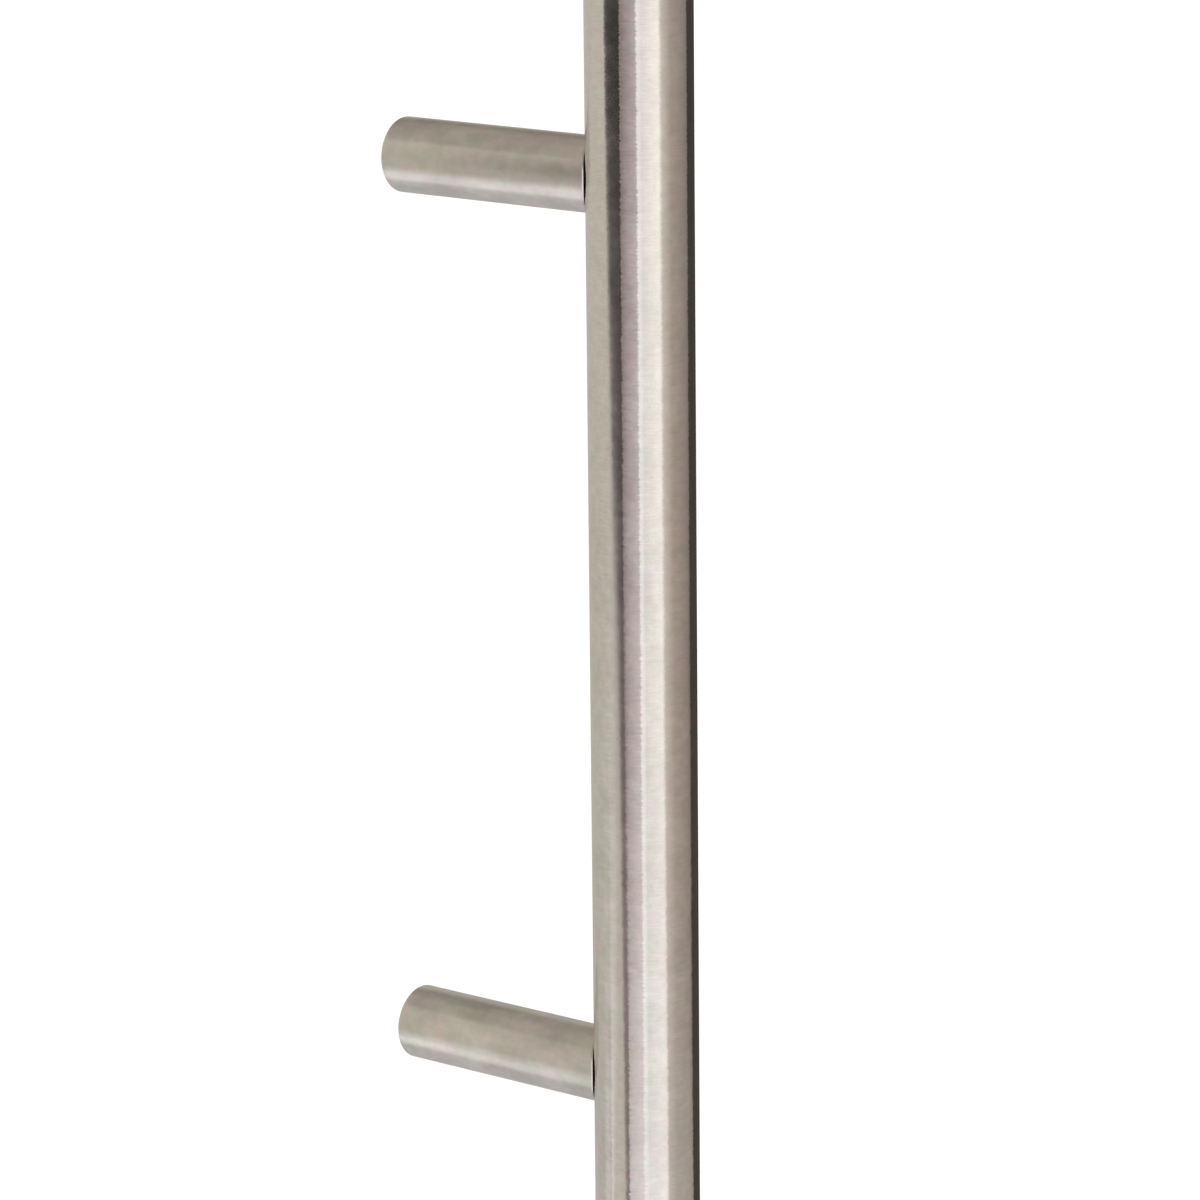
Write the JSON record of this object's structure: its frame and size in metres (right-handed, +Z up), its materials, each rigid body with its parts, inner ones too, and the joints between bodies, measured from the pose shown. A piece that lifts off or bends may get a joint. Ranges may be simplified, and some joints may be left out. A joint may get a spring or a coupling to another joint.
{
  "type": "door pull handle",
  "caption": "Straight satin steel door pull handle: a round grip tube on round coped posts, with concealed screw fixings at the door end of each post.",
  "frame": {"origin": "on the door's face, midway between the two fixing centres", "axes": "+Z up along the grip, +Y into the door along the posts, +X to the right for someone facing the door"},
  "size_m": [0.035, 0.115, 0.5],
  "materials": {
    "satin_steel": "satin, brushed round the circumference",
    "fastener_steel": "bright turned"
  },
  "bodies": {
    "root": {"grip_tube": "satin_steel", "top_end_cap": "satin_steel", "bottom_end_cap": "satin_steel", "upper_post": "satin_steel", "lower_post": "satin_steel", "upper_fixing_spigot": "fastener_steel", "lower_fixing_spigot": "fastener_steel", "rivet_nuts": "fastener_steel", "post_screws": "fastener_steel", "lock_washers": "fastener_steel", "grub_screws": "fastener_steel"}
  },
  "joints": []
}
